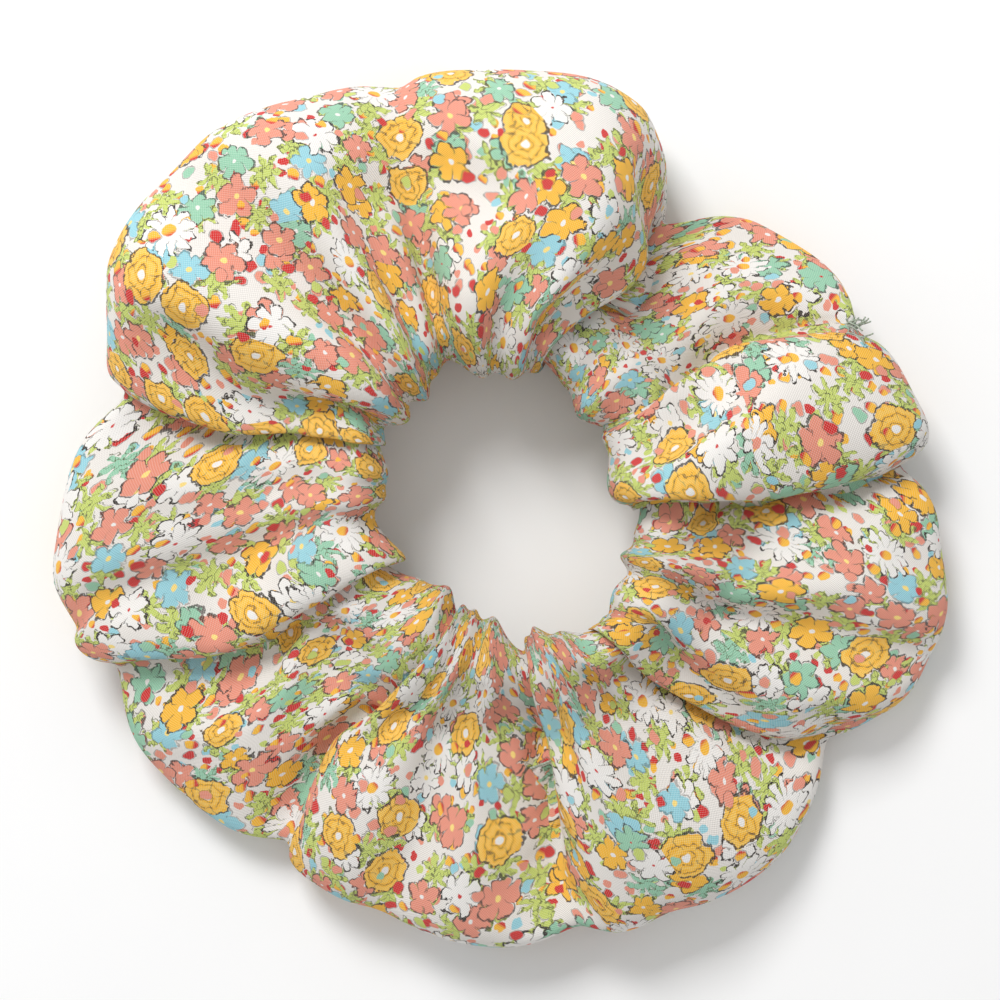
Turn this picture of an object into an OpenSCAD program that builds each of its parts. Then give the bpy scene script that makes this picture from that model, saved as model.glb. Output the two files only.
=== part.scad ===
// Fabric-covered scrunchie, lying flat: a gathered cloth tube round a loop of flat elastic.
// The ring lies on z = 0 with its hair opening round the Z axis. It is cut at x = 0 into a left
// and a right half, which slide apart along X as the elastic stretches.

/* [Cover] */
// Radius of the ring's outer edge where two puffs of cloth meet
valley_r = 53.5; // [40:0.5:70]
// How far the fullest puff swells past that radius
puff_swell = 6; // [1:0.5:10]
// Height of the ring at the top of a puff
cover_h = 28; // [22:0.5:38]
// How far the top drops where two puffs meet
top_dip = 4; // [0:0.5:6]
// Radius of the hair opening
opening_r = 15.5; // [12:0.5:24]
// How far the gathers draw the opening's edge back where two puffs meet
gather_notch = 4; // [0:0.25:5]
// Thickness of the gathered cloth
cloth_t = 0.6; // [0.4:0.1:1.2]
// How much of the round section the ring's own weight flattens underneath
base_sink = 2; // [0.5:0.5:4]

/* [Elastic] */
// Width of the flat elastic strip
elastic_w = 6; // [4:0.5:9]
// Thickness of the elastic strip
elastic_t = 1; // [0.6:0.1:1.5]
// Clearance between the elastic and the cloth at the opening's edge
elastic_gap = 0.5; // [0.3:0.1:2]
// Length over which the strip's two ends overlap and are sewn together
lap_l = 12; // [8:1:20]
// Zigzag stitches in the lap
lap_stitches = 6; // [4:1:10]
// Distance of the stitches from the strip's edges
lap_margin = 1; // [0.6:0.1:1.8]

/* [Threads] */
// Diameter of the sewing thread
thread_d = 0.4; // [0.3:0.05:0.6]
// Where the lengthwise seam runs round the section, counted from the ring's outer edge
tube_seam_turn = 72; // [36:18:144]
// Where on the ring the cloth tube was closed, counted from +X
closing_angle = 20; // [10:5:60]
// Length of the loose thread ends at the closing seam
tail_l = 5; // [3:0.5:8]

/* [Stretch] */
// Gap at x = 0 between the two halves
half_gap = 0.3; // [0.2:0.05:0.6]

/* [Hidden] */

// The creases between neighbouring puffs, as angles round the ring, and each puff's fullness
CREASES = [1, 37, 61, 110, 170, 206, 232, 275, 317];
FULLNESS = [0.6, 0.1, 0.65, 1, 0.8, 0.6, 0.7, 0.95, 1];
STATION = 5;        // degrees between the cover's sections
SECTION_POINTS = 20;
SECTION_STEP = 360 / SECTION_POINTS;
ARC_SIDES = 96;
LEFT = [90, 270];
RIGHT = [-90, 90];
CLOTH_COLOUR = [0.93, 0.91, 0.88];
ELASTIC_COLOUR = [0.95, 0.95, 0.93];
THREAD_COLOUR = [0.62, 0.66, 0.6];
UP = [0, 0, 1];

// ---- The gathered ring: radii and heights at an angle round it ----
function turned(a) = CREASES[0] + (((a - CREASES[0]) % 360) + 360) % 360;
function puff(a) = len([for (c = CREASES) if (c <= turned(a)) c]) - 1;
function puff_end(i) = i + 1 < len(CREASES) ? CREASES[i + 1] : CREASES[0] + 360;
function swell(a) = let (i = puff(a), start = CREASES[i])
    pow(sin(180 * (turned(a) - start) / (puff_end(i) - start)), 0.6);
function outer_r(a) = valley_r + puff_swell * FULLNESS[puff(a)] * swell(a);
function inner_r(a) = opening_r + gather_notch * (1 - swell(a));
function half_rise(a) = (cover_h - top_dip * (1 - swell(a)) + base_sink) / 2;
function mid_r(a) = (outer_r(a) + inner_r(a)) / 2;
function half_w(a, inset) = (outer_r(a) - inner_r(a)) / 2 - inset;
function polar(r, a, z) = [r * cos(a), r * sin(a), z];

// A point of the cover, turn t round its section, inset from its outer skin
function skin(a, t, inset) = polar(
    mid_r(a) + half_w(a, inset) * cos(t), a,
    max(inset, half_rise(a) - base_sink + (half_rise(a) - inset) * sin(t)));
function section(a, inset) = [for (j = [0 : SECTION_POINTS - 1]) skin(a, j * SECTION_STEP, inset)];
function stations(span) = [for (a = [span[0] : STATION : span[1]]) a];

// ---- The elastic's place: just clear of the cloth at the opening's edge ----
elastic_z = (cover_h - top_dip / 2 - base_sink) / 2;
function edge_r(a, z) = let (h = (z - half_rise(a) + base_sink) / (half_rise(a) - cloth_t))
    mid_r(a) - half_w(a, cloth_t) * sqrt(1 - h * h);
elastic_r = elastic_gap + max([for (a = stations([0, 355])) for (side = [-1, 1])
    edge_r(a, elastic_z + side * elastic_w / 2)]);
lap_a = lap_l / (elastic_r + elastic_t) * 180 / PI;
RAMP = 25;          // degrees over which the outer end lifts onto the inner one
function lift(a) = let (x = (a - closing_angle - lap_a / 2) / RAMP, k = 1 - min(1, max(0, x)))
    elastic_t * k * k * (3 - 2 * k);

// ---- Shared solids ----
function flat(lists) = [for (l = lists) each l];
function unit(v) = v / norm(v);

// Skin between neighbouring rings, whose points start at index first
function skin_faces(rings, sides, first) = [
    for (i = [0 : rings - 2]) for (j = [0 : sides - 1])
        let (p = first + i * sides + j, q = first + i * sides + (j + 1) % sides)
            each [[p, p + sides, q], [q, p + sides, q + sides]]];
function flipped(faces) = [for (f = faces) [f[0], f[2], f[1]]];

// A band that closes the wall between an outer and an inner ring at one end
function wall_end(outer, inner, sides) = [for (j = [0 : sides - 1]) let (k = (j + 1) % sides)
    each [[outer + j, outer + k, inner + j], [outer + k, inner + k, inner + j]]];

// A solid rod through the given rings
module swept(rings) {
    sides = len(rings[0]);
    last = (len(rings) - 1) * sides;
    start_cap = [[for (j = [0 : sides - 1]) j]];
    end_cap = [[for (j = [sides - 1 : -1 : 0]) last + j]];
    polyhedron(flat(rings), concat(skin_faces(len(rings), sides, 0), start_cap, end_cap));
}

// A thread of six sides along a path. The reference is never parallel to the path.
function direction(path, i) = unit(path[min(i + 1, len(path) - 1)] - path[max(i - 1, 0)]);
function thread_ring(path, i, reference) =
    let (d = direction(path, i), u = unit(cross(d, reference)), v = cross(u, d))
    [for (k = [0 : 5]) path[i] + (u * cos(60 * k) + v * sin(60 * k)) * thread_d / 2];
module thread(path, reference) {
    swept([for (i = [0 : len(path) - 1]) thread_ring(path, i, reference)]);
}

module rod(p, q) {
    d = q - p;
    translate(p) rotate([0, acos(d[2] / norm(d)), atan2(d[1], d[0])])
        cylinder(h = norm(d), d = thread_d, $fn = 16);
}

module in_half(side) {
    translate([side * half_gap / 2, 0, 0]) children();
}

// ---- The cloth tube ----
module cover_half(span) {
    at = stations(span);
    n = len(at) * SECTION_POINTS;
    last = n - SECTION_POINTS;
    outside = flat([for (a = at) section(a, 0)]);
    inside = flat([for (a = at) section(a, cloth_t)]);
    polyhedron(concat(outside, inside), concat(
        skin_faces(len(at), SECTION_POINTS, 0),
        flipped(skin_faces(len(at), SECTION_POINTS, n)),
        wall_end(0, n, SECTION_POINTS),
        flipped(wall_end(last, n + last, SECTION_POINTS))));
}

module cover_left() {
    color(CLOTH_COLOUR) in_half(-1) cover_half(LEFT);
}

module cover_right() {
    color(CLOTH_COLOUR) in_half(1) cover_half(RIGHT);
}

// ---- The elastic strip: one loop, its ends lapped and sewn at the closing seam ----
module strip_profile() {
    translate([elastic_r, elastic_z - elastic_w / 2]) square([elastic_t, elastic_w]);
}

module strip(from, to) {
    rotate([0, 0, from]) rotate_extrude(angle = to - from, $fn = ARC_SIDES) strip_profile();
}

module elastic_left() {
    color(ELASTIC_COLOUR) in_half(-1) strip(LEFT[0], LEFT[1]);
}

module elastic_inner_end() {
    color(ELASTIC_COLOUR) in_half(1) strip(RIGHT[0], closing_angle + lap_a / 2);
}

function strip_ring(a) = let (r = elastic_r + lift(a), low = elastic_z - elastic_w / 2)
    [polar(r, a, low), polar(r, a, low + elastic_w),
     polar(r + elastic_t, a, low + elastic_w), polar(r + elastic_t, a, low)];
module elastic_outer_end() {
    from = closing_angle - lap_a / 2;
    step = (RIGHT[1] - from) / 48;
    color(ELASTIC_COLOUR) in_half(1)
        swept([for (i = [0 : 48]) strip_ring(RIGHT[1] - i * step)]);
}

// Zigzag stitches through both ends of the strip: bars on its two faces, and where they pass through
BAR_END = 1.5;      // how far a bar stops short of each hole's middle, in thread diameters
module stitch_bar(p, q) {
    short = unit(q - p) * BAR_END * thread_d;
    rod(p + short, q - short);
}

module elastic_join_thread() {
    reach = elastic_w / 2 - lap_margin;
    sewn_a = lap_a * (1 - 2 * lap_margin / lap_l);
    function hole(i, r) = polar(r, closing_angle - sewn_a / 2 + i * sewn_a / lap_stitches,
                                elastic_z + (i % 2 == 0 ? -reach : reach));
    inner_face = elastic_r;
    outer_face = elastic_r + 2 * elastic_t;
    color(THREAD_COLOUR) in_half(1) {
        for (i = [0 : lap_stitches]) {
            rod(hole(i, inner_face), hole(i, outer_face));
        }
        for (i = [0 : lap_stitches - 1]) for (r = [inner_face, outer_face]) {
            stitch_bar(hole(i, r), hole(i + 1, r));
        }
    }
}

// ---- The seams ----
module tube_seam(span) {
    thread([for (a = stations(span)) skin(a, tube_seam_turn, cloth_t)], UP);
}

module tube_seam_thread_left() {
    color(THREAD_COLOUR) in_half(-1) tube_seam(LEFT);
}

module tube_seam_thread_right() {
    color(THREAD_COLOUR) in_half(1) tube_seam(RIGHT);
}

// The seam that closed the tube's ends runs once round the section
module closing_seam_thread() {
    along = polar(1, closing_angle + 90, 0);
    color(THREAD_COLOUR) in_half(1)
        thread([for (j = [0 : SECTION_POINTS - 1]) skin(closing_angle, j * SECTION_STEP, cloth_t)],
               along);
}

// Loose ends that fan out of the closing seam at the ring's outer edge, one above the other
TAIL_FAN = [-40, -12, 16, 44];
TAIL_PITCH = 1.5;   // in thread diameters
module thread_tail(k) {
    root = skin(closing_angle, 0, cloth_t) + [0, 0, (k - 1.5) * TAIL_PITCH * thread_d];
    thread([for (i = [0 : 5]) root + polar(tail_l * i / 5,
        closing_angle + TAIL_FAN[k] * (0.6 + 0.1 * i), 0)], UP);
}

module thread_tails() {
    color(THREAD_COLOUR) in_half(1) for (k = [0 : len(TAIL_FAN) - 1]) thread_tail(k);
}

cover_left();
cover_right();
elastic_left();
elastic_inner_end();
elastic_outer_end();
elastic_join_thread();
tube_seam_thread_left();
tube_seam_thread_right();
closing_seam_thread();
thread_tails();
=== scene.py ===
import math
import random

import bmesh
import bpy
import numpy as np
from mathutils import Matrix, Vector


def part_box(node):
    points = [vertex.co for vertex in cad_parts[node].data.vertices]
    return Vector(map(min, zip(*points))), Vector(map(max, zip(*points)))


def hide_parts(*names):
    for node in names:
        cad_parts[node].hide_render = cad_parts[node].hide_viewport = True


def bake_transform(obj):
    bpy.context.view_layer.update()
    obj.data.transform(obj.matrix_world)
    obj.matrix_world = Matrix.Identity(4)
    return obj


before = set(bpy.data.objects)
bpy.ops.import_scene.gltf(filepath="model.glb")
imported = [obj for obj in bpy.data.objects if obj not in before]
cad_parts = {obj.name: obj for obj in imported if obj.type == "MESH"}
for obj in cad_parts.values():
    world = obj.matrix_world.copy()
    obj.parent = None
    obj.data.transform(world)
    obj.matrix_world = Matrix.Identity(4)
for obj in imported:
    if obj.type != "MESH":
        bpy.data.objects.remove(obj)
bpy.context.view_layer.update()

MM = 0.001

# ---- Cloth cover: the gathers ----
# One cut of thin plain-woven cotton, sewn into a tube 385 mm long and 49 mm wide as it lies flat.
# Gathered on the elastic to a third of its length, it stands up in puffs that lie over each other.
# Lengths are in millimetres and angles in degrees. MM turns a length into the scene's metres.
CLOTH_LENGTH = 385.0
CLOTH_ROUND = 98.0
COLUMNS = 220            # mesh columns along the tube, once round the ring
ROWS = 56                # mesh rows round its section, from the inner edge over the top
TOP_ROW = ROWS // 4
OUTER_ROW = ROWS // 2
UNDER_ROW = 3 * ROWS // 4
FINE = 8                 # steps of the fold line between two columns
CLOSING_ANGLE = 20.0     # where the closing seam and the elastic's lap are
REST_HEIGHT = 0.3        # how far the lowest cloth stays off the table

# The section of the full puffs, and the radii and heights that their crests reach round the ring
SECTION_MID = (36.3, 13.3)
SECTION_HALF = (22.3, 13.4)
SECTION_SHAPE = 0.88
OUTER_EDGE = [
    (0, 58), (12, 55), (25, 53.5), (45, 51.5), (60, 50), (72, 55.8), (95, 56), (112, 58.5), (130, 61),
    (150, 60), (165, 55.5), (190, 59.8), (205, 58.2), (230, 57), (250, 55.6), (275, 58.8), (290, 57.5),
    (307, 59.2), (322, 56.5), (340, 59.8)]
OPENING_EDGE = [
    (0, 13.2), (20, 12.8), (42, 13.2), (60, 15.2), (80, 15.5), (105, 16.5), (140, 16.4), (165, 14.5),
    (190, 16), (215, 14), (240, 12.8), (260, 14.4), (290, 16.6), (312, 17.6), (332, 16.4), (350, 13.8)]
CREST = [
    (0, 26), (18, 25.5), (45, 22.5), (60, 23), (75, 27), (100, 26.5), (125, 27.5), (150, 27.5), (165, 26),
    (190, 25.5), (218, 21), (240, 25), (255, 25.5), (280, 26.5), (300, 26.5), (325, 26), (345, 26)]
# Where a row follows those tables: from no part at the first value to its whole at the second
OUTER_EDGE_RADII = (22, 52)
OPENING_EDGE_RADII = (24, 16)
CREST_HEIGHTS = (6, 26)

# Each crease between puffs: its angle at the opening, on top and at the outer edge, how steeply the
# cloth falls before it and rises after it, and its lean: + where the puff before lies over the next
CREASES = [
    (-6, 0, 2, 1.35, 1.45, -0.9),
    (38, 34, 23, 1.0, 1.0, 0.6),
    (77, 59, 57, 1.0, 1.35, -0.8),
    (114, 110, 107, 0.9, 0.9, -0.1),
    (134, 134, 136, 0.45, 0.45, -0.3),
    (155, 168, 165, 1.1, 1.35, 1.0),
    (184, 190, 196, 0.5, 0.5, 0.2),
    (212, 206, 202, 1.2, 1.2, 0.9),
    (246, 234, 236, 1.1, 1.25, -0.8),
    (258, 256, 252, 0.4, 0.4, 0.0),
    (276, 275, 276, 1.35, 1.3, -0.6),
    (300, 312, 321, 1.3, 1.35, -0.8),
    (330, 334, 338, 0.45, 0.45, 0.1),
]
GATHERS = [3, 2, 3, 2, 2, 2, 1, 2, 2, 1, 3, 2, 2]     # small pleats in each puff, near the elastic
# How strongly the creases and the pleats show round the section, in degrees from the inner edge
CREASE_SHARE = [
    (0, 0.5), (45, 0.75), (70, 0.85), (100, 0.9), (140, 0.65), (180, 0.4), (220, 0.42), (270, 0.5),
    (330, 0.6)]
PLEAT_LIMIT = [
    (0, 0.35), (20, 0.75), (45, 1.15), (75, 0.5), (110, 0.18), (150, 0.1), (180, 0.08), (210, 0.2),
    (270, 0.8), (315, 1.2), (340, 0.75)]
MEAN_DEPTH = 4.0         # the folds' mean depth under their crests
RIM_SHARE = 0.05         # the part of a puff over which its rim turns level
PLEAT_DRIFT = 0.06       # how unevenly pleats stand, as a share of their puff
PLEAT_CURL = 0.5
LEAN_REACH = 0.75        # how far a leaning rim moves for each millimetre of its height

crease_table = np.array(CREASES, float)
PUFFS = len(CREASES)
crease_tops = np.append(crease_table[:, 1], crease_table[0, 1] + 360)
along = (np.arange(COLUMNS * FINE) + 0.5) / (COLUMNS * FINE)
puff_starts = np.concatenate([[0], np.cumsum(np.diff(crease_tops) / 360)])
puff = np.clip(np.searchsorted(puff_starts, along, side="right") - 1, 0, PUFFS - 1)
next_puff = (puff + 1) % PUFFS
in_puff = (along - puff_starts[puff]) / np.diff(crease_tops)[puff] * 360


def round_table(angle, points):
    """Reads a table of (degrees, value) that closes on itself."""
    return np.interp(np.asarray(angle) % 360, [p[0] for p in points], [p[1] for p in points], period=360)


def ramp(value, start, end):
    """0 at the start and before it, 1 at the end and past it. The end may be the smaller value."""
    return np.clip((value - start) / (end - start), 0, 1)


def from_inner_edge(row_angle):
    """How far a row lies from the inner edge round the section, over the top or underneath."""
    return min(row_angle, 360 - row_angle)


def row_values(points):
    """One value per row round the section, evened out between neighbours."""
    values = round_table(360 * np.arange(ROWS) / ROWS, points)
    for _ in range(4):
        values = 0.5 * values + 0.25 * (np.roll(values, 1) + np.roll(values, -1))
    return values


def section_rows():
    """Radius, height and inward direction of each row on the section of a full puff."""
    turn = np.radians(np.linspace(0, 360, 2001))
    across = np.sign(np.cos(turn)) * np.abs(np.cos(turn)) ** SECTION_SHAPE
    upright = np.sign(np.sin(turn)) * np.abs(np.sin(turn)) ** SECTION_SHAPE
    radius = SECTION_MID[0] - SECTION_HALF[0] * across
    height = SECTION_MID[1] + SECTION_HALF[1] * upright
    walked = np.concatenate([[0], np.cumsum(np.hypot(np.diff(radius), np.diff(height)))])
    stops = np.arange(ROWS) / ROWS * walked[-1]
    radius, height = np.interp(stops, walked, radius), np.interp(stops, walked, height)
    step_r = np.roll(radius, -1) - np.roll(radius, 1)
    step_z = np.roll(height, -1) - np.roll(height, 1)
    length = np.hypot(step_r, step_z)
    return radius, height, step_z / length, -step_r / length


def fold_line(row_angle, radius, in_r, crease_share, pleat_limit):
    """One row of gathered cloth: its angles, and its lift under the highest crest as a number below zero.

    The creases come first, and pleats take up the length of cloth that is left."""
    fall = crease_table[puff, 4] * (1 - in_puff) - crease_table[next_puff, 3] * in_puff
    fall = fall * ramp(np.minimum(in_puff, 1 - in_puff), 0, RIM_SHARE)
    # no two puffs have their pleats in the same places or with the same curl
    uneven = PLEAT_DRIFT * np.sin(2 * np.pi * in_puff + 1.7 * puff)
    curl = PLEAT_CURL * np.sin(2.3 * puff + 1) * from_inner_edge(row_angle) / 60
    pleats = np.sin(2 * np.pi * np.array(GATHERS)[puff] * (in_puff + uneven) + curl)
    pleats = pleats * (0.85 + 0.3 * np.sin(10 * np.pi * along + 1) * np.sin(6 * np.pi * along))
    step = CLOTH_LENGTH / len(along)
    depth = MEAN_DEPTH
    for _ in range(3):
        wanted = 2 * np.pi * (radius + in_r * depth) / CLOTH_LENGTH
        low, high = 0.0, pleat_limit
        for _ in range(25):
            pleat = (low + high) / 2
            slope = crease_share * fall + pleat * pleats
            low, high = (pleat, high) if np.cos(slope).mean() > wanted else (low, pleat)
        forward = np.cumsum(np.cos(slope)) * step
        lift = np.cumsum(np.sin(slope)) * step
        lift = lift - np.linspace(0, lift[-1], len(lift))
        lift = lift - lift.max()
        depth = -lift.mean()
    # every puff keeps its own place round the ring, and its rims lean over its neighbours
    reached = np.concatenate([[0], forward])
    theta = np.zeros(len(along))
    for number in range(PUFFS):
        mine = puff == number
        first, last = np.flatnonzero(mine)[0], np.flatnonzero(mine)[-1] + 1
        share = (forward[mine] - reached[first]) / (reached[last] - reached[first])
        theta[mine] = crease_tops[number] + share * (crease_tops[number + 1] - crease_tops[number])
    lean = -(crease_table[puff, 5] * (1 - in_puff) + crease_table[next_puff, 5] * in_puff)
    theta = theta + np.degrees(lean * (-lift - MEAN_DEPTH) * LEAN_REACH / (radius + in_r * depth))
    return theta, lift


def crease_places(row_angle):
    """The angle at which each crease shows, at this row of the section."""
    inner = max(0.0, 1 - from_inner_edge(row_angle) / 90)
    outer = max(0.0, 1 - abs(row_angle - 180) / 90) if row_angle <= 180 else 1 - inner
    top = crease_table[:, 1]
    return top + inner * (crease_table[:, 0] - top) + outer * (crease_table[:, 2] - top)


def settle_creases(theta, row_angle):
    """Moves the rims that lie on top to where each crease shows."""
    seen = np.zeros(PUFFS)
    for number in range(PUFFS):
        after = (puff == number) & (in_puff < 0.5)
        before = (puff == (number - 1) % PUFFS) & (in_puff > 0.5)
        if crease_table[number, 5] < 0:
            seen[number] = theta[after].min()
        else:
            seen[number] = theta[before].max() - (360 if number == 0 else 0)
    order = np.argsort(seen)
    moves = (crease_places(row_angle) - seen)[order]
    places = np.concatenate([seen[order] - 360, seen[order], seen[order] + 360])
    return theta + np.interp(theta, places, np.tile(moves, 3))


# The elastic's place, which the gathers stay clear of
band_low, band_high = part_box("elastic_left")
BAND_THICKNESS = 1.0
BAND_ROOM = 1.2
BAND_SIDE = 28           # rows this near the inner edge pass inside the elastic, the rest over or under it
INNER_FACE = (65, 30)    # from outside the inner face to well on it, in degrees from the inner edge
CREST_REACH = 7          # columns each side in which a fold of the inner face finds its crest
band_outer = -band_low[0] / MM - 0.15
band_inner = band_outer - BAND_THICKNESS
band_bottom, band_top = band_low[2] / MM, band_high[2] / MM


def clear_of_band(radius, height, row_angle):
    """Keeps a row's gathers on their own side of the elastic: inside it, above it or below it."""
    if from_inner_edge(row_angle) < BAND_SIDE:
        beside = (height > band_bottom - BAND_ROOM) & (height < band_top + BAND_ROOM)
        return np.where(beside, np.minimum(radius, band_inner - BAND_ROOM), radius), height
    near = (radius > band_inner - BAND_ROOM) & (radius < band_outer + BAND_THICKNESS + BAND_ROOM)
    if row_angle < 180:
        return radius, np.where(near, np.maximum(height, band_top + BAND_ROOM), height)
    return radius, np.where(near, np.minimum(height, band_bottom - BAND_ROOM), height)


def evenly_spaced(loop):
    """The same closed line with its points at even steps, as cloth doesn't stretch."""
    closed = np.vstack([loop, loop[:1]])
    walked = np.concatenate([[0], np.cumsum(np.linalg.norm(np.diff(closed, axis=0), axis=1))])
    stops = np.arange(len(loop)) / len(loop) * walked[-1]
    return np.stack([np.interp(stops, walked, closed[:, axis]) for axis in range(3)], 1)


def eased_inside(lift, row_angle):
    """Brings every fold of the inner face up to the opening, and keeps it shallow over the elastic."""
    nearby = range(-CREST_REACH, CREST_REACH + 1)
    crest = np.max([np.roll(lift, step) for step in nearby], axis=0)
    crest = np.mean([np.roll(crest, step) for step in nearby], axis=0)
    depth = np.maximum(crest - lift, 0)
    room = band_inner - BAND_ROOM - SECTION_MID[0] + SECTION_HALF[0]
    share = ramp(from_inner_edge(row_angle), *INNER_FACE)
    return (1 - share) * lift - share * room * (1 - np.exp(-depth / room))


def gathered_tube():
    """The gathered cloth before it settles: places in millimetres by column and row."""
    places = np.zeros((COLUMNS, ROWS, 3))
    crease_share, pleat_limit = row_values(CREASE_SHARE), row_values(PLEAT_LIMIT)
    radii, heights, in_r, in_z = section_rows()
    for row in range(ROWS):
        row_angle = 360 * row / ROWS
        theta, lift = fold_line(row_angle, radii[row], in_r[row], crease_share[row], pleat_limit[row])
        theta = settle_creases(theta, row_angle)[::FINE]
        lift = eased_inside(lift[::FINE], row_angle)
        outer_change = round_table(theta, OUTER_EDGE) - SECTION_MID[0] - SECTION_HALF[0]
        opening_change = round_table(theta, OPENING_EDGE) - SECTION_MID[0] + SECTION_HALF[0]
        crest_change = round_table(theta, CREST) - SECTION_MID[1] - SECTION_HALF[1]
        radius = radii[row] - in_r[row] * lift
        radius = radius + ramp(radii[row], *OUTER_EDGE_RADII) * outer_change
        radius = radius + ramp(radii[row], *OPENING_EDGE_RADII) * opening_change
        height = heights[row] - in_z[row] * lift + ramp(heights[row], *CREST_HEIGHTS) * crest_change
        radius, height = clear_of_band(radius, np.maximum(height, REST_HEIGHT), row_angle)
        turn = np.radians(theta)
        places[:, row] = np.stack([radius * np.cos(turn), radius * np.sin(turn), height], 1)
    return np.array([evenly_spaced(loop) for loop in places])


# ---- Cloth cover: the cloth settles ----
# The gathered tube is let go for a moment: the cotton, a little larger than its gathers, wrinkles and
# slumps between the table and its own folds, while the elastic holds its inner edge.
CLOTH_UNIT = 0.1         # the simulation works in centimetres, as thin cloth settles badly in metres
SETTLE_FRAMES = 30
HELD_WIDTHS = (7, 3)     # from the inner edge: where the elastic starts to hold the cloth, and holds it fully
SPIN_RADIUS = 3          # of the plain ring that the mesh is spun as, with a section of radius 1
BAND_STEPS = 120
TABLE_HALF = 20
TOUCH_GAP = 0.02
SELF_GAP = 0.04
RIM_SPARE = 1.2          # the cloth's rims lie back from their furthest points
RIM_STEP = 3             # degrees between the places where the rim is measured
RIM_REACH = 5            # degrees each side that one such place looks at
RIM_RADII = (27, 52)     # the move to the rim grows from none to its whole between these
SOFT_ROWS = (9, 4)       # rows from the inner edge where the pleats start to be rounded, and are fully
SOFT_ROUNDS = 2


def spun_tube():
    """A ring spun from the section's rows, one column after another, with its faces outward."""
    bm = bmesh.new()
    bmesh.ops.create_circle(bm, segments=ROWS, radius=1)
    bmesh.ops.rotate(bm, verts=bm.verts, matrix=Matrix.Rotation(math.pi / 2, 3, "X"))
    bmesh.ops.translate(bm, verts=bm.verts, vec=(SPIN_RADIUS, 0, 0))
    bmesh.ops.spin(bm, geom=bm.verts[:] + bm.edges[:], cent=(0, 0, 0), axis=(0, 0, 1), angle=2 * math.pi,
                   steps=COLUMNS, use_merge=True)
    for vert in bm.verts:
        x, y, z = vert.co
        column = round(math.atan2(y, x) / (2 * math.pi) * COLUMNS) % COLUMNS
        row = round(math.atan2(z, SPIN_RADIUS - math.hypot(x, y)) / (2 * math.pi) * ROWS) % ROWS
        vert.index = column * ROWS + row
    bm.verts.sort()
    bmesh.ops.recalc_face_normals(bm, faces=bm.faces)
    return bm


def added(name, mesh):
    """A new object of this mesh, in the scene."""
    piece = bpy.data.objects.new(name, mesh)
    bpy.context.scene.collection.objects.link(piece)
    return piece


def finished_mesh(piece):
    """The piece's mesh with its modifiers applied."""
    depsgraph = bpy.context.evaluated_depsgraph_get()
    return bpy.data.meshes.new_from_object(piece.evaluated_get(depsgraph), depsgraph=depsgraph)


def hold_inner_edge(piece):
    """The elastic holds the rows next to the inner edge, less with distance."""
    held = piece.vertex_groups.new(name="held")
    for row in range(ROWS):
        distance = min(row, ROWS - row) / ROWS * CLOTH_ROUND
        weight = float(ramp(distance, *HELD_WIDTHS))
        if weight > 0:
            held.add([column * ROWS + row for column in range(COLUMNS)], weight, "REPLACE")
    return held


def solid_to_cloth(name, bm):
    """Adds a shape that the cloth comes to rest on."""
    mesh = bpy.data.meshes.new(name)
    bm.to_mesh(mesh)
    bm.free()
    piece = added(name, mesh)
    piece.modifiers.new("Collision", "COLLISION")
    piece.collision.thickness_outer = TOUCH_GAP
    return piece


def band_shape():
    """A plain ring that holds the elastic's space while the cloth settles."""
    ring = bmesh.new()
    bmesh.ops.create_grid(ring, x_segments=1, y_segments=1, size=0.5)
    bmesh.ops.delete(ring, geom=ring.faces[:], context="FACES_ONLY")
    width, height = band_outer + BAND_THICKNESS - band_inner, band_top - band_bottom
    bmesh.ops.scale(ring, verts=ring.verts, vec=(width * CLOTH_UNIT, height * CLOTH_UNIT, 1))
    bmesh.ops.rotate(ring, verts=ring.verts, matrix=Matrix.Rotation(math.pi / 2, 3, "X"))
    middle = Vector((band_inner + width / 2, 0, (band_bottom + band_top) / 2)) * CLOTH_UNIT
    bmesh.ops.translate(ring, verts=ring.verts, vec=middle)
    bmesh.ops.spin(ring, geom=ring.verts[:] + ring.edges[:], cent=(0, 0, 0), axis=(0, 0, 1),
                   angle=2 * math.pi, steps=BAND_STEPS, use_merge=True)
    bmesh.ops.recalc_face_normals(ring, faces=ring.faces)
    return ring


def let_settle(piece):
    """Runs the cloth's own motion for a moment, and returns its mesh."""
    table = bmesh.new()
    bmesh.ops.create_grid(table, x_segments=1, y_segments=1, size=TABLE_HALF)
    supports = [solid_to_cloth("rest_table", table), solid_to_cloth("held_elastic", band_shape())]

    cloth = piece.modifiers.new("Cloth", "CLOTH")
    cotton = cloth.settings
    cotton.quality = 5
    cotton.mass = 0.2
    cotton.air_damping = 2
    cotton.tension_stiffness = 20
    cotton.compression_stiffness = 20
    cotton.shear_stiffness = 8
    cotton.bending_stiffness = 1
    cotton.tension_damping = 5
    cotton.compression_damping = 5
    cotton.shear_damping = 5
    cotton.bending_damping = 0.5
    cotton.shrink_min = -0.07
    cotton.effector_weights.gravity = 0.3
    cotton.vertex_group_mass = hold_inner_edge(piece).name
    touch = cloth.collision_settings
    touch.use_self_collision = True
    touch.self_distance_min = SELF_GAP
    touch.self_friction = 5
    touch.collision_quality = 2
    touch.distance_min = TOUCH_GAP
    cloth.point_cache.frame_start = 1
    cloth.point_cache.frame_end = SETTLE_FRAMES
    bpy.context.scene.frame_end = SETTLE_FRAMES
    for moment in range(1, SETTLE_FRAMES + 1):
        bpy.context.scene.frame_set(moment)
    settled = finished_mesh(piece)
    bpy.context.scene.frame_set(1)
    for used in [piece, *supports]:
        bpy.data.objects.remove(used)
    return settled


def mesh_places(mesh):
    """Where the mesh's vertices are, one row each."""
    places = np.empty(len(mesh.vertices) * 3)
    mesh.vertices.foreach_get("co", places)
    return places.reshape(-1, 3)


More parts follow.
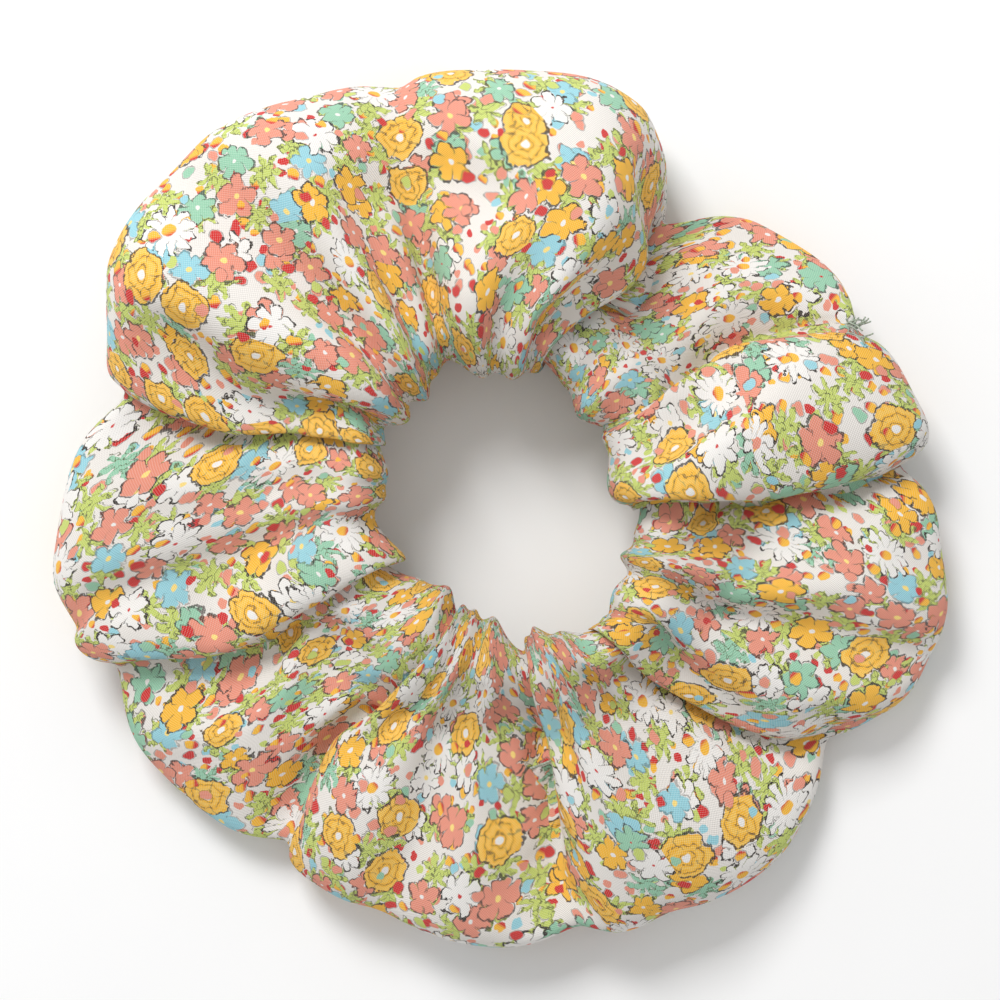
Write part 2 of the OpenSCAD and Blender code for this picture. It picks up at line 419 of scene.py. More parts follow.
def fitted(places):
    """Draws the settled cloth's rims to the ring's outer edge."""
    angle = np.degrees(np.arctan2(places[:, 1], places[:, 0])) % 360
    radius = np.hypot(places[:, 0], places[:, 1])
    bins = np.arange(0, 360, RIM_STEP)
    apart = np.abs((angle[None, :] - bins[:, None] + 180) % 360 - 180)
    rim = np.array([radius[near < RIM_REACH].max() for near in apart])
    rim_move = round_table(bins, OUTER_EDGE) + RIM_SPARE - rim
    for _ in range(3):
        rim_move = 0.5 * rim_move + 0.25 * (np.roll(rim_move, 1) + np.roll(rim_move, -1))
    move = np.interp(angle, bins, rim_move, period=360) * ramp(radius, *RIM_RADII)
    grown = (radius + move) / radius
    return places * np.stack([grown, grown, np.ones(len(grown))], 1)


def softened(places):
    """Rounds the small pleats along the rows next to the opening."""
    grid_places = places.reshape(COLUMNS, ROWS, 3).copy()
    distance = np.minimum(np.arange(ROWS), ROWS - np.arange(ROWS))
    share = ramp(distance, *SOFT_ROWS)[None, :, None]
    for _ in range(SOFT_ROUNDS):
        mean = (np.roll(grid_places, 1, axis=0) + np.roll(grid_places, -1, axis=0)) / 2
        grid_places += 0.5 * share * (mean - grid_places)
    return grid_places.reshape(-1, 3)


tube = spun_tube()
for vert, place in zip(tube.verts, gathered_tube().reshape(-1, 3)):
    vert.co = place * CLOTH_UNIT
tube_mesh = bpy.data.meshes.new("cover")
tube.to_mesh(tube_mesh)
tube.free()
tube_mesh = let_settle(added("settling_cover", tube_mesh))
cloth_places = mesh_places(tube_mesh) / CLOTH_UNIT
cloth_places = fitted(softened(cloth_places))
cloth_places[:, 2] -= cloth_places[:, 2].min() - REST_HEIGHT

# ---- Cloth cover: its seams ----
# The lengthwise seam runs underneath. It climbs through the fold beside the last puff and crosses
# that puff on top. The closing seam goes once round the section, where the tube's ends meet.
CLOSING_COLUMN = 21      # the mesh column of the closing seam, from which the seams' columns count
CLIMB_COLUMN = 199       # where the lengthwise seam climbs
CLIMB_COLUMNS = 3
SEAM_DEPTH = 0.35
COTTON_THICKNESS = 0.25
BAND_COVER = 0.45        # the least height of the cloth over the elastic
BAND_SLOPE = 2.5         # how steeply the cloth may come down beside it


def seam_row(column):
    """The row that the lengthwise seam follows at a column."""
    climbed = ramp(np.asarray(column), CLIMB_COLUMN, CLIMB_COLUMN + CLIMB_COLUMNS)
    return UNDER_ROW + climbed * (TOP_ROW - UNDER_ROW)


def map_cloth(mesh):
    """Gives the mesh its map of the flat cloth, in metres: along the tube, and round it from the seam."""
    flat_map = mesh.uv_layers.new(name="cloth")
    for face in mesh.polygons:
        corners = [divmod(mesh.loops[i].vertex_index, ROWS) for i in face.loop_indices]
        corners = [((column - CLOSING_COLUMN) % COLUMNS, row) for column, row in corners]
        columns, rows = {c for c, _ in corners}, {r for _, r in corners}
        left = COLUMNS - 1 if columns == {0, COLUMNS - 1} else min(columns)
        low = ROWS - 1 if rows == {0, ROWS - 1} else min(rows)
        turns = math.floor((low - seam_row(left)) / ROWS)
        for i, (column, row) in zip(face.loop_indices, corners):
            column = left if column == left else left + 1
            row = low if row == low else low + 1
            across = (row - seam_row(min(column, COLUMNS - 1))) / ROWS - turns
            flat_map.data[i].uv = (column / COLUMNS * CLOTH_LENGTH * MM, across * CLOTH_ROUND * MM)


def cloth_grid(mesh):
    """The mesh's vertex at each half column and half row of the flat cloth."""
    corner_vertex = np.empty(len(mesh.loops), int)
    mesh.loops.foreach_get("vertex_index", corner_vertex)
    flat = np.empty(len(mesh.loops) * 2)
    mesh.uv_layers["cloth"].uv.foreach_get("vector", flat)
    flat = flat.reshape(-1, 2) / MM
    column = flat[:, 0] / CLOTH_LENGTH * COLUMNS
    row = flat[:, 1] / CLOTH_ROUND * ROWS + seam_row(np.minimum(column, COLUMNS - 1))
    half_column = np.rint(2 * column).astype(int) % (2 * COLUMNS)
    half_row = np.rint(2 * row).astype(int) % (2 * ROWS)
    vertex_at = np.zeros((2 * COLUMNS, 2 * ROWS), int)
    vertex_at[half_column, half_row] = corner_vertex
    return vertex_at


def over_the_band(places):
    """Lays the cloth over or under the elastic where a fold cuts into it. Places go by column and row."""
    places = places.copy()
    radius, height = np.hypot(places[..., 0], places[..., 1]), places[..., 2]
    inside, outside = band_inner - radius, radius - band_outer - BAND_THICKNESS
    beside = np.maximum(inside, outside) - BAND_COVER
    fall = np.clip(beside, 0, None) * BAND_SLOPE
    upper = (np.arange(places.shape[1]) < places.shape[1] / 2)[None, :]
    lifted = np.maximum(height, band_top + BAND_COVER - fall)
    lowered = np.minimum(height, band_bottom - BAND_COVER + fall)
    places[..., 2] = np.where(beside < BAND_COVER, np.where(upper, lifted, lowered), height)
    return places


def mesh_normals(mesh):
    """The way out of the surface at each of the mesh's vertices."""
    normals = np.empty(len(mesh.vertices) * 3)
    mesh.vertex_normals.foreach_get("vector", normals)
    return normals.reshape(-1, 3)


tube_mesh.vertices.foreach_set("co", (cloth_places * MM).ravel())
map_cloth(tube_mesh)
coarse = added("cover_coarse", tube_mesh)
smooth = coarse.modifiers.new("Smooth", "SUBSURF")
smooth.levels = smooth.render_levels = 1
smooth.uv_smooth = "NONE"
cover = added("cover", finished_mesh(coarse))
cover.data.name = "cover"
cover.data.shade_smooth()
bpy.data.objects.remove(coarse)

grid = cloth_grid(cover.data)
half_columns = np.arange(2 * COLUMNS)
seam_line = grid[half_columns, np.rint(2 * seam_row(half_columns / 2)).astype(int) % (2 * ROWS)]
closing_line = grid[0]
sewn = mesh_places(cover.data)
sewn[grid] = over_the_band(sewn[grid] / MM) * MM
cover.data.vertices.foreach_set("co", sewn.ravel())
cover.data.update()
normals = mesh_normals(cover.data)
for line in (seam_line, closing_line):
    sewn[line] -= normals[line] * SEAM_DEPTH * MM
cover.data.vertices.foreach_set("co", sewn.ravel())
cover.data.update()
cloth_wall = cover.modifiers.new("Cloth_wall", "SOLIDIFY")
cloth_wall.thickness = COTTON_THICKNESS * MM
cloth_wall.offset = -1
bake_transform(cover)
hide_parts("cover_left", "cover_right")

# ---- Cloth cover: the print ----
# A dense meadow print on off-white: yellow roses, coral, blue and mint flowers, white daisies,
# scribbled lime leaves, red berries and small blobs, drawn with a thin loose line. All is in millimetres.


class Tone:
    """A number or colour that a material's nodes work out at each point of a surface."""

    def __init__(self, tree, output):
        self.tree = tree
        self.output = output

    def node(self, kind, *values, output=0, **settings):
        """The output of a new node, with each value set on the node's inputs or linked to them, in order."""
        made = self.tree.nodes.new("ShaderNode" + kind)
        for name, value in settings.items():
            setattr(made, name, value)
        for target, value in zip(made.inputs, values):
            if isinstance(value, Tone):
                self.tree.links.new(value.output, target)
            elif value is not None:
                target.default_value = (*value, 1) if target.type == "RGBA" and len(value) == 3 else value
        return Tone(self.tree, made.outputs[output])

    def math(self, operation, *others):
        return self.node("Math", self, *others, operation=operation)

    def parts(self):
        """The three numbers of a vector or colour."""
        split = self.node("SeparateXYZ", self).output.node
        return [Tone(self.tree, socket) for socket in split.outputs[:3]]

    def __add__(self, other):
        return self.math("ADD", other)

    def __sub__(self, other):
        return self.math("SUBTRACT", other)

    def __rsub__(self, other):
        return self.node("Math", other, self, operation="SUBTRACT")

    def __mul__(self, other):
        return self.math("MULTIPLY", other)

    __rmul__ = __mul__

    def __truediv__(self, other):
        return self.math("DIVIDE", other)

    def __pow__(self, other):
        return self.math("POWER", other)

    def __lt__(self, other):
        return self.math("LESS_THAN", other)

    def __gt__(self, other):
        return self.math("GREATER_THAN", other)

    def __abs__(self):
        return self.math("ABSOLUTE")

    def soft(self, width):
        """0 below zero, 1 above the width, smooth between."""
        return self.node("MapRange", self, 0.0, width, 0.0, 1.0, interpolation_type="SMOOTHSTEP")

    def over(self, share, top):
        """This colour with another laid over it."""
        mixed = self.tree.nodes.new("ShaderNodeMix")
        mixed.data_type = "RGBA"
        for place, value in ((0, share), (6, self), (7, top)):
            if isinstance(value, Tone):
                self.tree.links.new(value.output, mixed.inputs[place])
            else:
                mixed.inputs[place].default_value = (*value, 1) if place else value
        return Tone(self.tree, mixed.outputs[2])

    def steps(self, stops):
        """A colour and a number that hold from one stop to the next.

        Each stop is (start, (red, green, blue, number))."""
        made = self.node("ValToRGB", self).output.node
        made.color_ramp.interpolation = "CONSTANT"
        for i, (start, value) in enumerate(stops):
            stop = made.color_ramp.elements[i] if i < 2 else made.color_ramp.elements.new(start)
            stop.position = start
            stop.color = value
        return Tone(self.tree, made.outputs[0]), Tone(self.tree, made.outputs[1])


def dyed(code):
    """A screen colour of 0 to 255 as linear light."""
    return tuple(((c / 255 + 0.055) / 1.055) ** 2.4 for c in code)


GROUND = dyed((233, 228, 222))
PETAL_WHITE = dyed((240, 237, 233))
YELLOW = dyed((248, 187, 48))
PALE_YELLOW = dyed((252, 222, 128))
CORAL = dyed((233, 147, 124))
BLUE = dyed((150, 208, 220))
MINT = dyed((150, 203, 172))
LIME = dyed((198, 212, 108))
RED = dyed((208, 36, 34))
OLIVE = dyed((78, 84, 38))
# The print's drawn line; the same dark is also laid thinly between the weave's threads as painted shade.
INK_AND_WEAVE_SHADE = dyed((42, 35, 30))

# How the layers are printed: the softness of a colour's edge, and the drawn line's half width, its
# softness, and how far it slips off the colour it belongs to
EDGE_SOFT = 0.08
LINE_HALF = 0.17
LINE_SOFT = 0.06
LINE_SLIP = (-0.12, 0.1)
FULL_TURN = 2 * math.pi
LEAF_POINTS = 7
LEAF_NOTCH = 0.62
LEAF_TIP = 1.5
LEAF_SLIP = (0.15, 0.1)
BERRY_NOTCH = 0.22
THREAD_PITCH = 0.32
COTTON_BUMP = 0.00003

# Each kind of flower: share, petal colour, heart colour, petals, notch between them, size,
# heart's size, rings, drawn line, and how far the heart blushes red
BLOOMS = [
    (0.22, YELLOW, PETAL_WHITE, 5, 0.10, 1.06, 0.20, 1.0, 0.9, 0.0),
    (0.24, CORAL, PALE_YELLOW, 5, 0.50, 0.95, 0.17, 0.0, 0.85, 0.0),
    (0.14, YELLOW, PETAL_WHITE, 5, 0.38, 0.98, 0.17, 0.0, 0.95, 0.0),
    (0.16, PETAL_WHITE, YELLOW, 11, 0.60, 1.18, 0.27, 0.0, 1.0, 1.0),
    (0.05, BLUE, PALE_YELLOW, 5, 0.42, 0.90, 0.18, 0.0, 0.5, 0.0),
    (0.08, MINT, RED, 6, 0.48, 0.90, 0.10, 0.0, 0.8, 0.0),
    (0.11, PETAL_WHITE, RED, 7, 0.55, 1.05, 0.10, 0.0, 1.0, 0.0),
]
FILLERS = [
    (0.34, CORAL, PETAL_WHITE, 5, 0.50, 0.95, 0.15, 0.0, 0.85, 0.0),
    (0.13, BLUE, PALE_YELLOW, 5, 0.42, 1.00, 0.18, 0.0, 0.5, 0.0),
    (0.12, MINT, PETAL_WHITE, 6, 0.48, 1.00, 0.14, 0.0, 0.8, 0.0),
    (0.19, PETAL_WHITE, PALE_YELLOW, 6, 0.50, 1.05, 0.16, 0.0, 1.0, 0.0),
    (0.22, YELLOW, PETAL_WHITE, 5, 0.42, 0.95, 0.17, 0.0, 0.9, 0.0),
]


def kind_values(pick, kinds, value):
    """Looks up a colour and a number of the kind that a random number picks."""
    starts = np.cumsum([0] + [kind[0] for kind in kinds])
    return pick.steps([(start, value(kind)) for start, kind in zip(starts, kinds)])


def scattered(cloth, cell, shift, jitter):
    """One motif per cell: the place relative to the motif's middle, and its three random numbers."""
    x, y = cloth
    moved = x.node("CombineXYZ", (x + shift) / cell, (y + shift * 0.7) / cell, 0.0)
    middle = moved.node("TexVoronoi", moved, output="Position", voronoi_dimensions="2D")
    cells = middle.output.node
    cells.inputs["Randomness"].default_value = jitter
    cells.inputs["Scale"].default_value = 1
    away_x, away_y, _ = moved.node("VectorMath", moved, middle, operation="SUBTRACT").parts()
    return away_x * cell, away_y * cell, Tone(x.tree, cells.outputs["Color"]).parts()


def petal_edge(x, y, turn, petals, notch, radius, round_tip=0.55):
    """How far a place lies inside a flower's outline, its distance from the middle, and the petals' wave."""
    distance = (x * x + y * y) ** 0.5
    wave = abs(((y.math("ARCTAN2", x) + turn) * petals * 0.5).math("COSINE"))
    reach = radius * (1 - notch * (1 - wave ** round_tip))
    return reach - distance, distance, wave


def flowers(under, cloth, wobble, cell, shift, jitter, radius, kinds):
    """A layer of flowers of several kinds over what is printed beneath."""
    x, y, (pick, turn, growth) = scattered(cloth, cell, shift, jitter)
    fill, rings = kind_values(pick, kinds, lambda k: (*k[1], k[7]))
    heart, drawn = kind_values(pick, kinds, lambda k: (*k[2], k[8]))
    shape, blush = kind_values(pick, kinds, lambda k: (k[3] / 20, k[4], k[5] / 2, k[9]))
    heart_size, _ = kind_values(pick, kinds, lambda k: (k[6], k[6], k[6], 1))
    petals, notch, size = shape.parts()
    petals = (petals * 20).math("ROUND")
    turn = turn * FULL_TURN
    grown = size * 2 * radius * (growth * 0.2 + 0.88)
    loose_x, loose_y = x + wobble[0], y + wobble[1]
    edge, distance, wave = petal_edge(loose_x, loose_y, turn, petals, notch, grown)
    share = distance / grown
    ripple = (share * 17).math("SINE")
    parting = (wave < 0.12) * (share > 0.4) * drawn
    colour = fill.over(parting * 0.7, INK_AND_WEAVE_SHADE)
    colour = colour.over(ripple.soft(0.5) * rings * 0.3, PALE_YELLOW)
    colour = colour.over((ripple < -0.9) * rings * wobble[2] * 0.6, INK_AND_WEAVE_SHADE)
    heart = heart.over((x * 0.5 - y).soft(0.9) * blush, RED)
    middle = ((x + wobble[0] * 0.4) ** 2 + (y + wobble[1] * 0.4) ** 2) ** 0.5
    colour = colour.over((heart_size - middle / grown).soft(0.05), heart)
    layer = under.over(edge.soft(EDGE_SOFT), colour)
    line_x, line_y = loose_x + LINE_SLIP[0], loose_y + LINE_SLIP[1]
    line_edge, _, _ = petal_edge(line_x, line_y, turn, petals, notch, grown)
    line = (LINE_HALF - abs(line_edge)).soft(LINE_SOFT) * drawn * wobble[2]
    return layer.over(line, INK_AND_WEAVE_SHADE)


def leaves(under, cloth, wobble, cell, shift, jitter, radius):
    """Clusters of pointed lime leaves with scribbled veins."""
    x, y, (pick, turn, _) = scattered(cloth, cell, shift, jitter)
    x, y = x + wobble[0], y + wobble[1]
    turn = turn * FULL_TURN
    edge, _, _ = petal_edge(x, y, turn, LEAF_POINTS, LEAF_NOTCH, radius, LEAF_TIP)
    shade, _ = pick.steps([(0, (*LIME, 1)), (0.9, (*MINT, 1))])
    layer = under.over(edge.soft(EDGE_SOFT), shade)
    scribble = wobble[3]
    vein = (abs(scribble - 0.5) < 0.024) * (edge > 0.0)
    rim_x, rim_y = x + LEAF_SLIP[0], y + LEAF_SLIP[1]
    slipped, _, _ = petal_edge(rim_x, rim_y, turn, LEAF_POINTS, LEAF_NOTCH, radius, LEAF_TIP)
    rim = (abs(slipped) < 0.1) * (scribble > 0.42)
    return layer.over(vein.math("MAXIMUM", rim) * 0.8, OLIVE)


def specks(under, cloth, wobble, cell, shift, jitter, radius):
    """Small berries, buds and blobs."""
    x, y, (pick, turn, growth) = scattered(cloth, cell, shift, jitter)
    colour, bud = pick.steps([
        (0, (*RED, 0)), (0.2, (*CORAL, 0)), (0.45, (*MINT, 0)), (0.52, (*BLUE, 0)), (0.6, (*YELLOW, 1)),
        (0.92, (*LIME, 0))])
    colour = colour.over(bud * (x * 0.7 - y * 0.7).soft(0.5), RED)
    grown = (growth * 0.4 + 0.65) * radius
    loose_x, loose_y = x + wobble[0] * 0.6, y + wobble[1] * 0.6
    edge, _, _ = petal_edge(loose_x, loose_y, turn * FULL_TURN, 2, BERRY_NOTCH, grown, 1.0)
    layer = under.over(edge.soft(EDGE_SOFT), colour)
    line = (abs(edge + 0.04) < 0.05) * (growth > 0.45)
    return layer.over(line * 0.6, INK_AND_WEAVE_SHADE)


def new_material(name):
    """A material's first Tone of Object coordinates, its shader, and the material."""
    material = bpy.data.materials.new(name)
    material.use_nodes = True
    tree = material.node_tree
    start = tree.nodes.new("ShaderNodeTexCoord")
    return material, tree.nodes["Principled BSDF"], Tone(tree, start.outputs["Object"])


def finish_shader(shader, colour, roughness, bump_height=None, bump_distance=0.0001):
    """Links a colour and a bump into the shader."""
    tree = colour.tree
    tree.links.new(colour.output, shader.inputs["Base Color"])
    shader.inputs["Roughness"].default_value = roughness
    shader.inputs["Specular IOR Level"].default_value = 0.25
    if bump_height is not None:
        bump = tree.nodes.new("ShaderNodeBump")
        bump.inputs["Distance"].default_value = bump_distance
        tree.links.new(bump_height.output, bump.inputs["Height"])
        tree.links.new(bump.outputs["Normal"], shader.inputs["Normal"])


def printed_cotton():
    """The print on its weave, worked out in millimetres on the flat cloth."""
    material, shader, start = new_material("printed_cotton")
    flat = start.node("UVMap", uv_map="cloth")
    x, y, _ = flat.parts()
    x, y = x * 1000, y * 1000
    place = x.node("CombineXYZ", x, y, 0.0)

    def noise(scale, detail):
        """A cloudy number, and three more that wander apart from it."""
        made = place.node("TexNoise", place, noise_dimensions="2D").output.node
        made.inputs["Scale"].default_value = scale
        made.inputs["Detail"].default_value = detail
        return Tone(place.tree, made.outputs["Fac"]), Tone(place.tree, made.outputs["Color"]).parts()

    _, (wander_x, wander_y, _) = noise(0.55, 1)
    broken, (shiver_x, shiver_y, _) = noise(1.9, 1)
    scribble, _ = noise(1.0, 1.5)
    # what a loose hand adds: a drift across and along, the gaps in a line, and the scribble in the leaves
    drift_x = (wander_x - 0.5) * 1.4 + (shiver_x - 0.5) * 0.5
    drift_y = (wander_y - 0.5) * 1.4 + (shiver_y - 0.5) * 0.5
    wobble = (drift_x, drift_y, (broken - 0.3).soft(0.1), scribble)
    cloth = (x, y)
    ground = x.node("RGB")
    ground.output.default_value = (*GROUND, 1)
    colour = specks(ground, cloth, wobble, cell=2.4, shift=3.1, jitter=0.8, radius=0.85)
    colour = leaves(colour, cloth, wobble, cell=5.2, shift=11.7, jitter=0.85, radius=2.35)
    colour = flowers(colour, cloth, wobble, cell=7.0, shift=41.0, jitter=0.7, radius=2.35, kinds=FILLERS)
    colour = flowers(colour, cloth, wobble, cell=7.7, shift=67.0, jitter=0.6, radius=2.75, kinds=BLOOMS)
    colour = specks(colour, cloth, wobble, cell=5.0, shift=23.4, jitter=0.8, radius=0.85)
    warp, weft = (x * (FULL_TURN / THREAD_PITCH)).math("SINE"), (y * (FULL_TURN / THREAD_PITCH)).math("SINE")
    weave = warp * weft
    # Where the threads rise, the cloth's own off-white ground shows through the print. Between the threads
    # the colour is darkened a little with the ink colour: painted shade in the weave's hollows.
    colour = colour.over(weave.soft(0.8) * 0.3, GROUND).over((0 - weave).soft(1.0) * 0.08, INK_AND_WEAVE_SHADE)
    finish_shader(shader, colour, 0.85, weave, COTTON_BUMP)
    shader.inputs["Sheen Weight"].default_value = 0.05
    return material


cover.data.materials.append(printed_cotton())

# ---- Tube seam thread ----
# Plain machine stitches in pale grey-green cotton thread, which make the cloth a tube. They lie sunk
# in the lengthwise seam.
THREAD_DIAMETER = 0.35
STITCH_LENGTH = 2.4
STITCH_SWING = 0.2
STITCH_SINK = 0.3
STITCH_POINTS = 7
THREAD_GREEN = dyed((150, 164, 146))
# a pale tone laid on the plies' crests as a painted highlight
THREAD_PAINTED_HIGHLIGHT = dyed((206, 210, 198))
THREAD_SHADE = dyed((104, 118, 100))
THREAD_BUMP = 0.00004


def sewing_thread():
    """Twisted cotton thread: fine slanting plies with a painted highlight on their crests, and a little fuzz
    in its colour.
    """
    material, shader, place = new_material("sewing_thread")
    plies = place.node("TexWave", place, output="Fac", bands_direction="DIAGONAL")
    plies.output.node.inputs["Scale"].default_value = 900
    plies.output.node.inputs["Distortion"].default_value = 2
    fuzz = place.node("TexNoise", place)
    fuzz.output.node.inputs["Scale"].default_value = 700
    # The plies' crests, where the bump stands highest, are mixed toward a pale tone: a painted highlight.
    colour = plies.over(1.0, THREAD_GREEN).over(plies * 0.5, THREAD_PAINTED_HIGHLIGHT)
    colour = colour.over((fuzz - 0.5).soft(0.3), THREAD_SHADE)
    finish_shader(shader, colour, 0.75, plies, THREAD_BUMP)
    return material


thread_finish = sewing_thread()


def thread_piece(name, paths, diameter, replaced, closed=False):
    """Round thread along each path, in place of CAD nodes."""
    line = bpy.data.curves.new(name + "_line", "CURVE")
    line.dimensions = "3D"
    line.bevel_depth = diameter / 2 * MM
    line.bevel_resolution = 1
    line.use_fill_caps = not closed
    for path in paths:
        spline = line.splines.new("POLY")
        spline.points.add(len(path) - 1)
        for point, place in zip(spline.points, path):
            point.co = (*place, 1)
        spline.use_cyclic_u = closed
    drawn = added(name + "_line", line)
    piece = added(name, finished_mesh(drawn))
    bpy.data.objects.remove(drawn)
    piece.data.name = name
    piece.data.shade_smooth()
    piece.data.materials.clear()
    piece.data.materials.append(thread_finish)
    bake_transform(piece)
    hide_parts(*replaced)


def stitched(line, closed):
    """A running stitch along a line of the cover's vertices, in and out of the cloth."""
    places, outward = mesh_places(cover.data)[line], mesh_normals(cover.data)[line]
    if closed:
        places, outward = np.vstack([places, places[:1]]), np.vstack([outward, outward[:1]])
    walked = np.concatenate([[0], np.cumsum(np.linalg.norm(np.diff(places, axis=0), axis=1))])
    stitches = max(1, round(walked[-1] / (STITCH_LENGTH * MM)))
    stops = np.linspace(0, walked[-1], stitches * STITCH_POINTS + 1)[:-1 if closed else None]
    place = np.stack([np.interp(stops, walked, places[:, axis]) for axis in range(3)], 1)
    out = np.stack([np.interp(stops, walked, outward[:, axis]) for axis in range(3)], 1)
    swing = np.sin(2 * math.pi * stitches * stops / walked[-1]) * STITCH_SWING - STITCH_SINK
    return place + out * swing[:, None] * MM


thread_piece("tube_seam_thread", [stitched(seam_line, False)], THREAD_DIAMETER,
             ["tube_seam_thread_left", "tube_seam_thread_right"])

# ---- Elastic strip ----
# Flat braided elastic, 6 mm wide and 1 mm thick. It goes once round inside the cover, and its outer
# end lifts onto its inner end over a 12 mm lap.
LAP_LENGTH = 12.0
LAP_RAMP = 25.0          # degrees over which the outer end comes down off the lap
BRAID_PITCH = 1.1
BRAID_RELIEF = 0.06
BRAID_BUMP = 0.00008
YARN_PITCH = 0.7
STRIP_COLUMNS = 300
STRIP_ROWS = 16
ELASTIC_WHITE = dyed((240, 239, 234))
ELASTIC_SHADE = dyed((196, 194, 186))

band_mid, band_width = (band_bottom + band_top) / 2, band_top - band_bottom
lap_angle = math.degrees(LAP_LENGTH / band_outer)
lap_start, lap_end = CLOSING_ANGLE - lap_angle / 2, CLOSING_ANGLE + lap_angle / 2


def band_lift(angle):
    """How far the strip lies off the inner layer, as a share of its thickness."""
    down = min(1.0, max(0.0, (angle - lap_end) / LAP_RAMP))
    return 1 - down * down * (3 - 2 * down)


def braided_elastic():
    """Herringbone braid: slanting yarns that meet at ribs along the strip."""
    material, shader, start = new_material("braided_elastic")
    along_strip, across, _ = start.node("UVMap", uv_map="strip").parts()
    rib = abs((across * (1000 * math.pi / BRAID_PITCH)).math("SINE"))
    yarn = (along_strip * (1000 * FULL_TURN / YARN_PITCH) + rib * 4).math("SINE")
    height = rib * 0.6 + yarn * 0.4
    colour = height.over(1.0, ELASTIC_SHADE).over((height + 0.3).soft(0.8), ELASTIC_WHITE)
    finish_shader(shader, colour, 0.7, height, BRAID_BUMP)
    return material


strip = bmesh.new()
bmesh.ops.create_grid(strip, x_segments=STRIP_COLUMNS, y_segments=STRIP_ROWS, size=0.5)
strip_uv = strip.loops.layers.uv.new("strip")
strip_length = math.radians(360 + lap_angle) * band_outer
for face in strip.faces:
    for loop in face.loops:
        loop[strip_uv].uv = (loop.vert.co.x * strip_length * MM, loop.vert.co.y * band_width * MM)
bmesh.ops.solidify(strip, geom=strip.faces[:], thickness=1)
low_side = min(vert.co.z for vert in strip.verts)
for vert in strip.verts:
    angle = lap_start + (vert.co.x + 0.5) * (360 + lap_angle)
    layer = vert.co.z - low_side
    across = vert.co.y * band_width
    ribs = BRAID_RELIEF * abs(math.sin(across * math.pi / BRAID_PITCH)) * (1 if layer < 0.5 else -1)
    radius = band_inner + BAND_THICKNESS * (layer + band_lift(angle)) + ribs
    turn = math.radians(angle)
    vert.co = Vector((radius * math.cos(turn), radius * math.sin(turn), band_mid + across)) * MM
bmesh.ops.recalc_face_normals(strip, faces=strip.faces)
strip_mesh = bpy.data.meshes.new("elastic_strip")
strip.to_mesh(strip_mesh)
strip.free()
elastic = added("elastic_strip", strip_mesh)
strip_mesh.materials.append(braided_elastic())
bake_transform(elastic)
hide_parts("elastic_left", "elastic_inner_end", "elastic_outer_end")

# ---- Elastic join thread ----
# A zigzag stitch through both layers of the lap, with a line of thread on each face that dips into
# the strip at every hole.
ZIGZAGS = 7
ZIGZAG_MARGIN = 1.0
JOIN_DIAMETER = 0.4
# The thread at each hole: how deep it lies in the strip, and its place along the strip
HOLE_PATH = ((-0.15, -0.25), (0.5, 0.0), (-0.15, 0.25))


def zigzag(face, into):
    """The zigzag's path on one face of the lap. Into is the way through the strip from that face."""
    path = []
    for hole in range(ZIGZAGS + 1):
        from_end = ZIGZAG_MARGIN + hole / ZIGZAGS * (LAP_LENGTH - 2 * ZIGZAG_MARGIN)
        turn = math.radians(lap_start + from_end / LAP_LENGTH * lap_angle)
        side = (1 if hole % 2 else -1) * (band_width / 2 - ZIGZAG_MARGIN)
        for inward, drift in HOLE_PATH:
            radius = face + into * inward
            bent = turn + drift / radius
            path.append(np.array([radius * math.cos(bent), radius * math.sin(bent), band_mid + side]) * MM)
    return path


thread_piece("elastic_join_thread", [zigzag(band_inner + 2 * BAND_THICKNESS, -1), zigzag(band_inner, 1)],
             JOIN_DIAMETER, ["elastic_join_thread"])

# ---- Closing seam thread ----
# The same stitches once round the section, where the tube's two ends are sewn together over the
# joined elastic.
thread_piece("closing_seam_thread", [stitched(closing_line, True)], THREAD_DIAMETER, ["closing_seam_thread"],
             closed=True)

# ---- Loose thread ends ----
# Frayed ends of the closing seam's thread and of the cut cotton. They stick out a few millimetres at
# the ring's outer edge, in a small fan.
FRAY_ENDS = 22
FRAY_LENGTH = (1.2, 3.2)
FRAY_DIAMETER = 0.22
FRAY_SPREAD = 62.0
FRAY_RISE = (-0.5, 0.7)
FRAY_CURL = 0.75
FRAY_SCATTER = ((-0.5, 0.3), (-0.9, 0.9), (-1.6, 1.6))
FRAY_ROOT_DEPTH = 0.8
FRAY_POINTS = 8

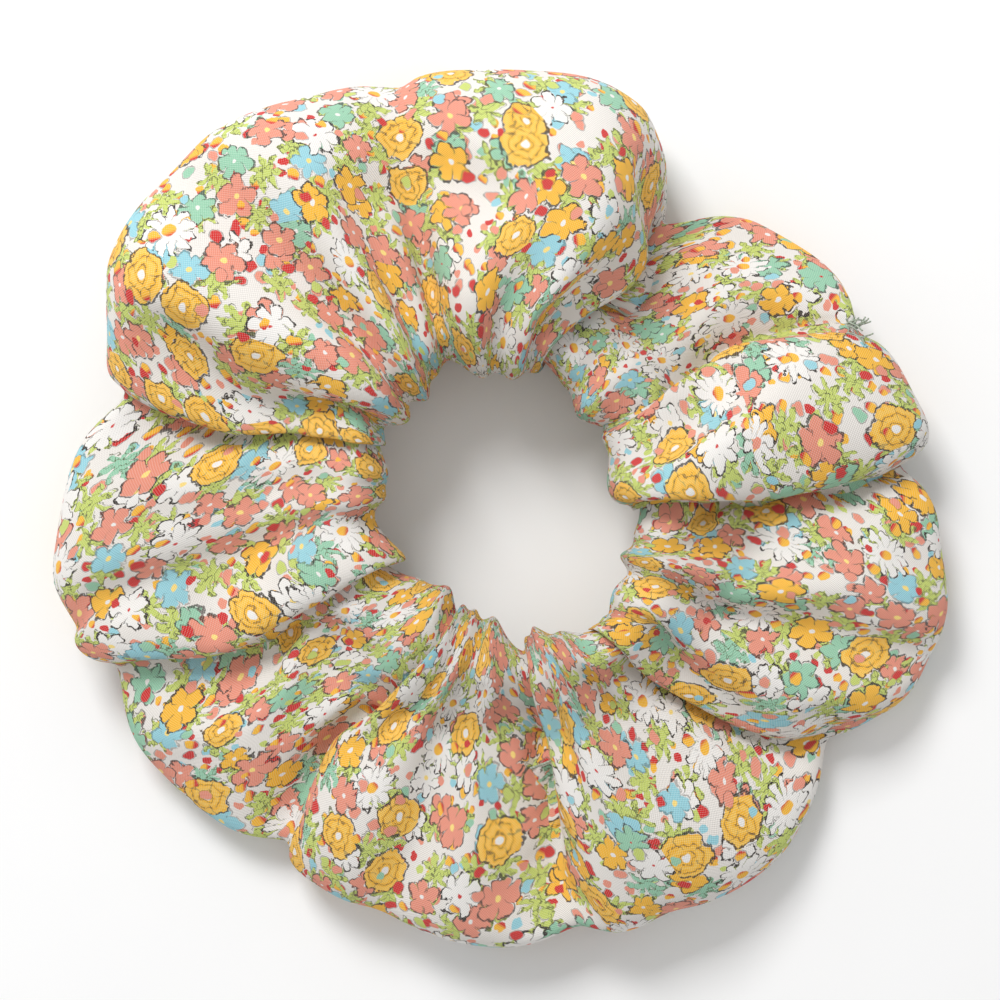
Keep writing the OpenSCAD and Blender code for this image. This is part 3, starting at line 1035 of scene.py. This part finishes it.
fray_root = mesh_places(cover.data)[grid[0, 2 * OUTER_ROW]]
fray_way = math.degrees(math.atan2(fray_root[1], fray_root[0]))
fray_turn = math.radians(fray_way)
fray_inward = np.array([math.cos(fray_turn), math.sin(fray_turn), 0]) * FRAY_ROOT_DEPTH
draw = random.Random(5)
frays = []
for _ in range(FRAY_ENDS):
    length = draw.uniform(*FRAY_LENGTH)
    way = math.radians(fray_way + draw.uniform(-FRAY_SPREAD, FRAY_SPREAD))
    rise = draw.uniform(*FRAY_RISE)
    curl = draw.uniform(-FRAY_CURL, FRAY_CURL)
    scatter = np.array([draw.uniform(*limits) for limits in FRAY_SCATTER])
    start = fray_root + (scatter - fray_inward) * MM
    path = []
    for step in range(FRAY_POINTS):
        t = step / (FRAY_POINTS - 1)
        bent = way + curl * t
        path.append(start + np.array([math.cos(bent), math.sin(bent), rise * t]) * length * t * MM)
    frays.append(path)
thread_piece("thread_tails", frays, FRAY_DIAMETER, ["thread_tails"])

# ---- Stage, light and camera ----
# A plain pale floor and soft studio light from the upper left, seen from straight above. These sizes
# are in metres.
FLOOR_HALF = 1.5
PAPER_GRAIN = 40
ROOM_LIGHT = 0.58
KEY_PLACE = (-0.26, 0.52, 0.6)
KEY_SIZE = 0.3
KEY_POWER = 5.0
VIEW_MIDDLE = (-0.0009, 0.0004, 0.014)
VIEW_WIDTH = 0.130
LENS = 100.0
SENSOR = 36

floor_grid = bmesh.new()
bmesh.ops.create_grid(floor_grid, x_segments=1, y_segments=1, size=FLOOR_HALF)
floor_mesh = bpy.data.meshes.new("floor")
floor_grid.to_mesh(floor_mesh)
floor_grid.free()
floor = added("floor", floor_mesh)
paper, paper_shader, paper_place = new_material("pale_paper")
grain = paper_place.node("TexNoise", paper_place)
grain.output.node.inputs["Scale"].default_value = PAPER_GRAIN
finish_shader(paper_shader, grain.over(0.97, dyed((250, 250, 250))), 0.9)
floor_mesh.materials.append(paper)

world = bpy.data.worlds.new("studio")
bpy.context.scene.world = world
world.use_nodes = True
background = world.node_tree.nodes["Background"]
background.inputs["Color"].default_value = (1, 1, 1, 1)
background.inputs["Strength"].default_value = ROOM_LIGHT
bpy.context.scene.view_settings.view_transform = "Standard"

key_data = bpy.data.lights.new("key_light", "AREA")
key_data.size = KEY_SIZE
key_data.energy = KEY_POWER
key_light = bpy.data.objects.new("key_light", key_data)
bpy.context.scene.collection.objects.link(key_light)
key_light.location = KEY_PLACE
key_light.rotation_euler = (-key_light.location).to_track_quat("-Z", "Y").to_euler()

camera_data = bpy.data.cameras.new("camera")
camera_data.lens = LENS
camera_data.sensor_width = SENSOR
camera_data.clip_start = 0.01
camera = bpy.data.objects.new("camera", camera_data)
bpy.context.scene.collection.objects.link(camera)
camera.location = Vector(VIEW_MIDDLE) + Vector((0, 0, VIEW_WIDTH * LENS / SENSOR))
bpy.context.scene.camera = camera
